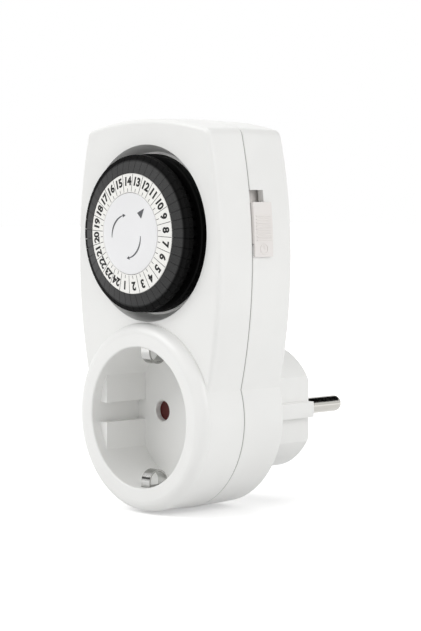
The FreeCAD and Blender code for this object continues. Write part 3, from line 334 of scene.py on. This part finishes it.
dressed = add(tree, "GeometryNodeSetMaterial", {"Geometry": solid.outputs[0], "Material": of["Finish"]})
add(tree, "NodeGroupOutput", {"Geometry": dressed.outputs[0]})
screws = grown(tree, "cross_recess_screws", {
    "Across": 0.041, "Up": 0.0585, "Centre": (0.0, -0.0233, 0.04625), "Head Radius": 0.0025,
    "Head Height": 0.0014, "Shank Radius": 0.0013, "Shank Length": 0.0208,
    "Recess": (0.0030, 0.0006, 0.0016), "Finish": zinc})
screws.data.shade_smooth()
screws.data.set_sharp_from_angle(angle=math.radians(30))
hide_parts("housing_screws")
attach(screws, "housing")

# Plug pins
# Brass pins turned on a lathe and nickel plated. They keep a bright, slightly warm mirror with faint
# rings round the pin.
nickel = metal("nickel_plated_brass", "#c2c0bb", 0.13, 0.05, True)
wear(nickel, "plug_pin_left", "plug_pin_right")

# Contacts of the socket and the earth
# The sleeves and the two contacts of the switch are rolled from brass strip. The earth clips and the side
# contacts are bent from tinned spring strip, and a bridge of the same strip joins them behind the cup.

# Rolled brass: a warm yellow shine, drawn out along the strip.
brass = metal("rolled_brass", "#c9a663", 0.28, 0.06, False)
wear(brass, "socket_contact_left", "socket_contact_right", "fixed_contact", "moving_contact")

# Tinned strip: nearly a mirror on the bent faces, so it goes from white to dark within a few millimetres.
tinned = metal("tinned_spring_strip", "#b4b4b2", 0.12, 0.05, False)
wear(tinned, "earth_clip_upper", "earth_clip_lower", "earth_bridge", "plug_earth_contact_upper",
     "plug_earth_contact_lower")

# Safety shutter
# A bow tie moulded in dark red polyamide closes the pin holes from behind. It turns on a pin of the front
# shell, and a flat spiral of spring strip turns it back.

# Dark red polyamide: dull, so that it shows as a deep red spot in the holes.
red = moulded("moulded_red_polyamide", "#5c1512", "#4d100e", 0.45, 0.25, 0.01, 0.4)
wear(red, "safety_shutter")

# Bright spring steel: a plain grey shine.
spring_steel = metal("bright_spring_steel", "#9fa0a0", 0.3, 0.05, False)
wear(spring_steel, "shutter_spring")

# Dial
# The carrier and its 48 push segments are moulded in black acetal. The tops of the segments are grained
# and painted grey-black as painted light, where they catch the light, while their smooth sides stay black.
AXIS_UP = 0.0518

# Smooth black acetal: so little shine that the gaps between the segments look deep.
black = moulded("moulded_black_acetal", "#0a0a0a", "#070707", 0.5, 0.25, 0.01, 0.05)
wear(black, "segment_carrier")

# Grained black acetal: the sloping top alone is etched, and it is painted a flecked dark grey, a painted
# highlight for the light its flecks scatter, with more specular shine. It fades out between these radii
# from the axis and these depths.
LIT_TOP_NEAR = 0.0200
LIT_TOP_FAR = 0.0206
LIT_TOP_FRONT = -0.0543
LIT_TOP_BACK = -0.0536
grain_and_painted_light, tree = blank("grained_black_segments_painted_lit_tops")
spot = add(tree, "ShaderNodeTexCoord")
place = add(tree, "ShaderNodeSeparateXYZ", {0: spot.outputs["Object"]})
up = add(tree, "ShaderNodeMath", {0: place.outputs["Z"], 1: AXIS_UP}, operation="SUBTRACT")
flat = add(tree, "ShaderNodeCombineXYZ", {"X": place.outputs["X"], "Z": up.outputs[0]})
reach = add(tree, "ShaderNodeVectorMath", {0: flat.outputs[0]}, operation="LENGTH")
inner_zone = add(tree, "ShaderNodeMapRange", {"Value": reach.outputs["Value"], "From Min": LIT_TOP_NEAR,
                                              "From Max": LIT_TOP_FAR, "To Min": 1.0, "To Max": 0.0})
front_zone = add(tree, "ShaderNodeMapRange", {"Value": place.outputs["Y"], "From Min": LIT_TOP_FRONT,
                                              "From Max": LIT_TOP_BACK, "To Min": 1.0, "To Max": 0.0})
top_face = add(tree, "ShaderNodeMath", {0: inner_zone.outputs[0], 1: front_zone.outputs[0]},
               operation="MULTIPLY")
grit = add(tree, "ShaderNodeTexNoise", {"Vector": spot.outputs["Object"], "Scale": 1000 / 0.22,
                                        "Detail": 3.0})
# Painted light: dark grey flecks on the tops stand in for the light they catch; the sides stay black.
painted_lit_flecks = add(tree, "ShaderNodeValToRGB", {"Fac": grit.outputs["Fac"]})
painted_lit_flecks.color_ramp.elements[0].color = linear("#272727")
painted_lit_flecks.color_ramp.elements[0].position = 0.35
painted_lit_flecks.color_ramp.elements[1].color = linear("#363636")
painted_lit_flecks.color_ramp.elements[1].position = 0.65
tone = add(tree, "ShaderNodeMix", {0: top_face.outputs[0], 6: linear("#080808"), 7: painted_lit_flecks.outputs[0]},
           data_type="RGBA")
bump = add(tree, "ShaderNodeBump", {"Height": grit.outputs["Fac"], "Strength": 0.5, "Distance": 0.00001})
shine = add(tree, "ShaderNodeMapRange", {"Value": top_face.outputs[0], "To Min": 0.05, "To Max": 0.24})
skin = add(tree, "ShaderNodeBsdfPrincipled", {
    "Base Color": tone.outputs[2], "Roughness": 0.5, "Specular IOR Level": shine.outputs["Result"],
    "Normal": bump.outputs[0]})
add(tree, "ShaderNodeOutputMaterial", {"Surface": skin.outputs[0]})
wear(grain_and_painted_light, *[f"segments_hour_{hour:02d}" for hour in range(1, 25)])

# Number ring
# A white ring, printed in black and grey, snapped on the front of the carrier. It is slightly conical
# and rises from the segments towards the centre cap.
RING_OUT = 0.01684
RING_IN = 0.01150
RING_EDGE = -0.0553
RING_RISE = 0.00045
RING_BACK = RING_EDGE + 0.0008
RING_BEVEL = 0.00012
BORE_BEVEL = 0.0001


def ring_front(radius):
    """How far forward the cone of the ring lies at a radius."""
    return RING_EDGE - RING_RISE * (RING_OUT - radius) / (RING_OUT - RING_IN)


def turned(name, profile, steps):
    """A closed mesh turned about the dial's axis from a list of radius and depth."""
    mesh = bpy.data.meshes.new(name)
    shape = bmesh.new()
    corners = [shape.verts.new((radius, depth, AXIS_UP)) for radius, depth in profile]
    edges = [shape.edges.new((one, two)) for one, two in zip(corners, corners[1:])]
    if profile[0][0] > 0:
        edges.append(shape.edges.new((corners[-1], corners[0])))
    bmesh.ops.spin(shape, geom=corners + edges, cent=(0, 0, AXIS_UP), axis=(0, 1, 0), angle=2 * math.pi,
                   steps=steps, use_merge=True)
    bmesh.ops.remove_doubles(shape, verts=shape.verts, dist=1e-7)
    bmesh.ops.recalc_face_normals(shape, faces=shape.faces)
    shape.to_mesh(mesh)
    shape.free()
    mesh.shade_smooth()
    mesh.set_sharp_from_angle(angle=math.radians(30))
    return stand(name, mesh)


# White ring: a smooth, warmer white with less shine than the shells, so that the print stays easy to read.
ring_white = moulded("printed_white_ring", "#f2f1ed", "#efeeea", 0.4, 0.2, 0.006)
ring = turned("printed_number_ring", [
    (RING_OUT, RING_BACK), (RING_OUT, RING_EDGE + RING_BEVEL), (RING_OUT - RING_BEVEL, RING_EDGE - 0.00001),
    (RING_IN + BORE_BEVEL, ring_front(RING_IN)), (RING_IN, ring_front(RING_IN) + BORE_BEVEL),
    (RING_IN, RING_BACK)], 120)
ring.data.materials.append(ring_white)
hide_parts("number_ring")
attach(ring, "dial")

# Hour numbers
# The 24 numbers stand on the ring with their feet towards the centre, anticlockwise from 8 at the right.
# They are one film of black ink on the cone.


def ink(name, hex_code, paler):
    """Pad printed ink: a thin matt film whose cover varies a little."""
    made, tree = blank(name)
    spot = add(tree, "ShaderNodeTexCoord")
    cover = add(tree, "ShaderNodeTexNoise", {"Vector": spot.outputs["Object"], "Scale": 1000 / 0.35,
                                             "Detail": 2.0})
    tone = add(tree, "ShaderNodeValToRGB", {"Fac": cover.outputs["Fac"]})
    tone.color_ramp.elements[0].color = linear(hex_code)
    tone.color_ramp.elements[0].position = 0.4
    tone.color_ramp.elements[1].color = linear(paler)
    tone.color_ramp.elements[1].position = 0.75
    skin = add(tree, "ShaderNodeBsdfPrincipled", {"Base Color": tone.outputs[0], "Roughness": 0.6,
                                                  "Specular IOR Level": 0.3})
    add(tree, "ShaderNodeOutputMaterial", {"Surface": skin.outputs[0]})
    return made


def printed(name, shape, material, body):
    """A printed film as an object that rides a body."""
    mesh = bpy.data.meshes.new(name)
    shape.to_mesh(mesh)
    shape.free()
    mesh.materials.append(material)
    made = stand(name, mesh)
    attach(made, body)


# Black ink: matt and even, so that the digits stay black at any angle of the light.
black_ink = ink("black_printing_ink", "#0e0e0e", "#1a1a1a")
DIGIT_SIZE = 0.00325
DIGIT_RADIUS = 0.01455
DIGIT_BOLD = 0.042
PAIR_SPACING = 0.93
FILM = 0.00002
HOUR_ANGLE = 15
EIGHT_ANGLE = 5
numbers = bmesh.new()
for hour in range(1, 25):
    text = bpy.data.curves.new(f"hour_{hour}", "FONT")
    text.body = str(hour)
    text.align_x = "CENTER"
    text.align_y = "CENTER"
    text.resolution_u = 3
    text.offset = DIGIT_BOLD
    if hour > 9:
        text.space_character = PAIR_SPACING
    label = stand(f"hour_{hour}", text)
    bpy.context.view_layer.update()
    mesh = bpy.data.meshes.new_from_object(label.evaluated_get(bpy.context.evaluated_depsgraph_get()))
    bpy.data.objects.remove(label)
    angle = math.radians(EIGHT_ANGLE + HOUR_ANGLE * (hour - 8))
    outwards = Vector((math.cos(angle), 0, math.sin(angle)))
    along = Vector((math.sin(angle), 0, -math.cos(angle)))
    for vertex in mesh.vertices:
        spot = outwards * (DIGIT_RADIUS + vertex.co.y * DIGIT_SIZE) + along * vertex.co.x * DIGIT_SIZE
        vertex.co = Vector((spot.x, ring_front(spot.length) - FILM, AXIS_UP + spot.z))
    numbers.from_mesh(mesh)
bmesh.ops.remove_doubles(numbers, verts=numbers.verts, dist=1e-7)
for face in numbers.faces:
    if face.normal.y > 0:
        face.normal_flip()
numbers.normal_update()
printed("hour_numbers", numbers, black_ink, "dial")

# Hour lines and half hour ticks
# Thin grey printed lines divide the hours across the whole ring, and short ticks mark the half hours at
# its inner edge. One printed bar repeats round the axis.

# Grey ink: the same matt film, so thin a line that it recedes behind the digits.
grey_ink = ink("grey_printing_ink", "#424242", "#505050")
tree, given = socketed("printed_bars", [
    ("Count", "NodeSocketInt"), ("Middle Radius", "NodeSocketFloat"), ("Bar", "NodeSocketVector"),
    ("Lean", "NodeSocketFloat"), ("First Angle", "NodeSocketFloat"), ("Centre", "NodeSocketVector"),
    ("Ink", "NodeSocketMaterial")])
of = given.outputs
around = add(tree, "GeometryNodeMeshCircle", {"Vertices": of["Count"], "Radius": of["Middle Radius"]})
bar = add(tree, "GeometryNodeMeshCube", {"Size": of["Bar"]})
tilt = add(tree, "ShaderNodeCombineXYZ", {"Y": of["Lean"]})
bar_set = add(tree, "GeometryNodeTransform", {"Geometry": bar.outputs["Mesh"], "Rotation": tilt.outputs[0]})
number = add(tree, "GeometryNodeInputIndex")
share = add(tree, "ShaderNodeMath", {0: 2 * math.pi, 1: of["Count"]}, operation="DIVIDE")
heading = add(tree, "ShaderNodeMath", {0: number.outputs[0], 1: share.outputs[0]}, operation="MULTIPLY")
facing_way = add(tree, "ShaderNodeCombineXYZ", {"Z": heading.outputs[0]})
spread = add(tree, "GeometryNodeInstanceOnPoints", {"Points": around.outputs["Mesh"],
                                                    "Instance": bar_set.outputs[0],
                                                    "Rotation": facing_way.outputs[0]})
turn_back = add(tree, "ShaderNodeMath", {0: of["First Angle"], 1: -1.0}, operation="MULTIPLY")
upright = add(tree, "ShaderNodeCombineXYZ", {"X": math.pi / 2, "Y": turn_back.outputs[0]})
placed = add(tree, "GeometryNodeTransform", {"Geometry": spread.outputs[0], "Translation": of["Centre"],
                                             "Rotation": upright.outputs[0]})
solid = add(tree, "GeometryNodeRealizeInstances", {"Geometry": placed.outputs[0]})
dressed = add(tree, "GeometryNodeSetMaterial", {"Geometry": solid.outputs[0], "Material": of["Ink"]})
add(tree, "NodeGroupOutput", {"Geometry": dressed.outputs[0]})
BAR_THICK = 0.00003
BAR_PROUD = 0.000005
for name, low, high, width, first_angle in (
    ("hour_lines", 0.01170, 0.01670, 0.00016, EIGHT_ANGLE + HOUR_ANGLE / 2),
    ("half_hour_ticks", 0.01170, 0.01265, 0.00018, EIGHT_ANGLE),
):
    middle = (low + high) / 2
    bars = grown(tree, name, {
        "Count": 24, "Middle Radius": middle, "Bar": (high - low, width, BAR_THICK),
        "Lean": math.atan2(RING_RISE, RING_OUT - RING_IN), "First Angle": math.radians(first_angle),
        "Centre": (0.0, ring_front(middle) - BAR_PROUD, AXIS_UP), "Ink": grey_ink})
    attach(bars, "dial")

# Centre cap
# A pale grey moulded disc that stands still while the dial turns round it. Its stem is pressed into the
# fixed post and keeps the dial on.
CAP_FRONT = -0.05588
CAP_BACK = -0.0543
CAP_RADIUS = 0.01140
STEM_RADIUS = 0.0024
STEM_BACK = -0.0451

# Pale grey cap: a cooler tone than the ring, with the soft highlight of the shells.
cap_grey = moulded("moulded_pale_grey_cap", "#ececed", "#e9e9ea", 0.36, 0.25, 0.008)
cap = turned("printed_centre_cap", [
    (0.0, CAP_FRONT), (0.006, CAP_FRONT), (0.0111, CAP_FRONT + 0.00003), (0.01132, CAP_FRONT + 0.0001),
    (CAP_RADIUS, CAP_FRONT + 0.0003), (CAP_RADIUS, CAP_BACK), (STEM_RADIUS, CAP_BACK),
    (STEM_RADIUS, STEM_BACK), (0.0, STEM_BACK)], 112)
cap.data.materials.append(cap_grey)
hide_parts("centre_cap")
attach(cap, "housing")

# Print on the cap
# The time pointer, a solid triangle, and two arc arrows for the way the dial turns, in dark grey ink.
# The arcs swell in the middle and end in a small head.
ARROW_CENTRE = (-1.50, -0.86)
ARROW_RADIUS = 6.02
HEAD_HALF = 0.55
HEAD_DEGREES = 9
HEAD_OVERLAP = 2
ARC_THIN = 0.08
ARC_SWELL = 0.19
ARC_STEPS = 20

# Dark grey ink: softer than the black of the digits, and as matt.
dark_grey_ink = ink("dark_grey_printing_ink", "#58595c", "#656669")
marks = bmesh.new()


def patch(corners):
    """One flat printed face on the cap, from its corners in mm to the right and up from the axis."""
    made = [marks.verts.new((right / 1000, CAP_FRONT - FILM, AXIS_UP + up / 1000)) for right, up in corners]
    face = marks.faces.new(made)
    face.normal_update()
    if face.normal.y > 0:
        face.normal_flip()


def on_arrow(radius, angle):
    """A point of an arc arrow, in mm from the axis."""
    return (ARROW_CENTRE[0] + radius * math.cos(angle), ARROW_CENTRE[1] + radius * math.sin(angle))


patch([(6.11, 7.14), (3.14, 5.83), (4.82, 4.24)])
for start, end in ((183.0, 101.0), (3.0, -79.0)):
    previous = None
    for step in range(ARC_STEPS + 1):
        part = step / ARC_STEPS
        angle = math.radians(start + (end - start) * part)
        half_wide = ARC_THIN + ARC_SWELL * math.sin(math.pi * min(1.0, part * 0.9 + 0.05))
        pair = [on_arrow(ARROW_RADIUS - half_wide, angle), on_arrow(ARROW_RADIUS + half_wide, angle)]
        if previous:
            patch([previous[0], previous[1], pair[1], pair[0]])
        previous = pair
    foot = math.radians(end + HEAD_OVERLAP)
    tip = math.radians(end - HEAD_DEGREES)
    patch([on_arrow(ARROW_RADIUS, tip), on_arrow(ARROW_RADIUS + HEAD_HALF, foot),
           on_arrow(ARROW_RADIUS - HEAD_HALF, foot)])
printed("cap_print", marks, dark_grey_ink, "housing")

# Override slider
# A slider moulded in a slightly warmer white, with eight grip ribs. Below the ribs a small raised clock
# face marks the timed position, and a narrow lip closes its front edge to the parting line.

# Warm white ABS: a shade pinker and duller than the shells, so the slider stands out from them.
warm_white = moulded("moulded_warm_white_abs", "#e9e5e2", "#e6e2df", 0.4, 0.25, 0.012)
wear(warm_white, "override_slider")
BOW_RADIUS = 0.14757
BOW_CENTRE = (-0.11757, 0.04493)
CLOCK_BACK = -0.0335
CLOCK_UP = 0.0478
CLOCK_OUT = 0.00150
CLOCK_IN = 0.00126
CLOCK_STEPS = 28
HAND_HALF = 0.0001
HAND_UP = 0.0009
HAND_ASIDE = 0.0007
LIP_STEPS = 12
LIP_LOW = 0.0492
LIP_HIGH = 0.0605
LIP_FRONT = -0.03712
LIP_REAR = -0.0366
LIP_PROUD = 0.00072
LIP_SUNK = -0.0012
symbol = bmesh.new()


def side_reach(up, proud=0.00075):
    """How far out a face lies that stands proud of the long bowed side of the case, in metres."""
    return BOW_CENTRE[0] + math.sqrt(BOW_RADIUS ** 2 - (up - BOW_CENTRE[1]) ** 2) + proud


def raised(points, height=0.00016):
    """A raised flat form on the slider, from its outline in metres back and up from the clock's middle."""
    outer = []
    inner = []
    for back, up in points:
        reach = side_reach(CLOCK_UP + up)
        outer.append(symbol.verts.new((reach + height, CLOCK_BACK + back, CLOCK_UP + up)))
        inner.append(symbol.verts.new((reach - 0.0001, CLOCK_BACK + back, CLOCK_UP + up)))
    symbol.faces.new(outer)
    symbol.faces.new(inner[::-1])
    for at in range(len(points)):
        after = (at + 1) % len(points)
        symbol.faces.new((outer[at], inner[at], inner[after], outer[after]))


for at in range(CLOCK_STEPS):
    a = 2 * math.pi * at / CLOCK_STEPS
    b = 2 * math.pi * (at + 1) / CLOCK_STEPS
    raised([(radius * math.cos(angle), radius * math.sin(angle)) for radius, angle in (
        (CLOCK_OUT, a), (CLOCK_OUT, b), (CLOCK_IN, b), (CLOCK_IN, a))])
raised([(-HAND_HALF, -HAND_HALF), (HAND_HALF, -HAND_HALF), (HAND_HALF, HAND_UP), (-HAND_HALF, HAND_UP)])
raised([(HAND_HALF, -HAND_HALF), (HAND_ASIDE, -HAND_HALF), (HAND_ASIDE, HAND_HALF), (HAND_HALF, HAND_HALF)])
bmesh.ops.remove_doubles(symbol, verts=symbol.verts, dist=1e-6)
bmesh.ops.recalc_face_normals(symbol, faces=symbol.faces)
lip_rows = []
for at in range(LIP_STEPS + 1):
    up = LIP_LOW + (LIP_HIGH - LIP_LOW) * at / LIP_STEPS
    lip_rows.append([symbol.verts.new((side_reach(up, proud), back, up)) for proud, back in (
        (LIP_PROUD, LIP_FRONT), (LIP_PROUD, LIP_REAR), (LIP_SUNK, LIP_REAR), (LIP_SUNK, LIP_FRONT))])
for row, after in zip(lip_rows, lip_rows[1:]):
    for at in range(4):
        symbol.faces.new((row[at], row[(at + 1) % 4], after[(at + 1) % 4], after[at]))
symbol.faces.new(lip_rows[0][::-1])
symbol.faces.new(lip_rows[-1])
bmesh.ops.recalc_face_normals(symbol, faces=symbol.faces)
mesh = bpy.data.meshes.new("slider_clock_mark")
symbol.to_mesh(mesh)
symbol.free()
mesh.materials.append(warm_white)
clock_mark = stand("slider_clock_mark", mesh)
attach(clock_mark, "slider")

# Mechanism plate, gear wheels and lever
# The plate is moulded in plain polyamide and carries the dial's post. The wheels are moulded in white
# acetal and turn on steel arbors, and the lever in polyamide with glass fibre.

# Plain polyamide: a pale buff with hardly any shine.
buff = moulded("natural_polyamide", "#d9d4c4", "#cfc9b8", 0.5, 0.4, 0.02, 0.4)
wear(buff, "mechanism_plate")

# White acetal: a faintly yellow white that shines like wax.
waxy = moulded("white_acetal", "#eceadf", "#e6e3d6", 0.38, 0.3, 0.008)
wear(waxy, "reduction_wheel_1", "reduction_wheel_2")

# Polyamide with glass fibre: browner than the plate, and as dull.
tan = moulded("glass_filled_polyamide", "#b39f74", "#a48f64", 0.5, 0.4, 0.02, 0.4)
wear(tan, "switch_lever")

# Motor
# A drawn can and a punched end plate of zinc plated steel hold a black bobbin with its copper winding,
# and a sintered ferrite magnet turns on a ground shaft.
wear(zinc, "motor_can", "motor_end_plate")

# Black polyamide: a charcoal black with a dim highlight.
bobbin_black = moulded("black_polyamide", "#1f1f1f", "#191919", 0.45, 0.3, 0.01, 0.4)
wear(bobbin_black, "coil_bobbin")

# Sintered ferrite: a dull brown-black, as rough to the eye as fine sandpaper.
ferrite = moulded("sintered_ferrite", "#2f2d2c", "#272524", 0.6, 0.15, 0.02, 0.4)
wear(ferrite, "rotor_magnet")

# Ground steel: a pale grey shine with fine rings.
ground_steel = metal("ground_steel", "#a9aaaa", 0.24, 0.04, True)
wear(ground_steel, "rotor_shaft", "wheel_arbors", "lever_pin")

# Enamelled copper: orange on the turns, with painted shade that makes it brown in the grooves between them.
# They are drawn 0.9 mm apart, coarser than the real wire, so that they show.
TURN_PITCH = 0.0009
copper, tree = blank("enamelled_copper_winding")
spot = add(tree, "ShaderNodeTexCoord")
turns = add(tree, "ShaderNodeTexWave", {"Vector": spot.outputs["Object"],
                                        "Scale": 2 * math.pi / TURN_PITCH / 20}, bands_direction="Y")
# Painted shade: the low part of each wave, the groove, is painted brown.
tone = add(tree, "ShaderNodeValToRGB", {"Fac": turns.outputs["Fac"]})
tone.color_ramp.elements[0].color = linear("#6e2f12")
tone.color_ramp.elements[1].color = linear("#b5622f")
bump = add(tree, "ShaderNodeBump", {"Height": turns.outputs["Fac"], "Strength": 0.6, "Distance": 0.00005})
skin = add(tree, "ShaderNodeBsdfPrincipled", {"Base Color": tone.outputs[0], "Metallic": 0.6,
                                              "Roughness": 0.3, "Normal": bump.outputs[0]})
add(tree, "ShaderNodeOutputMaterial", {"Surface": skin.outputs[0]})
wear(copper, "coil_winding")
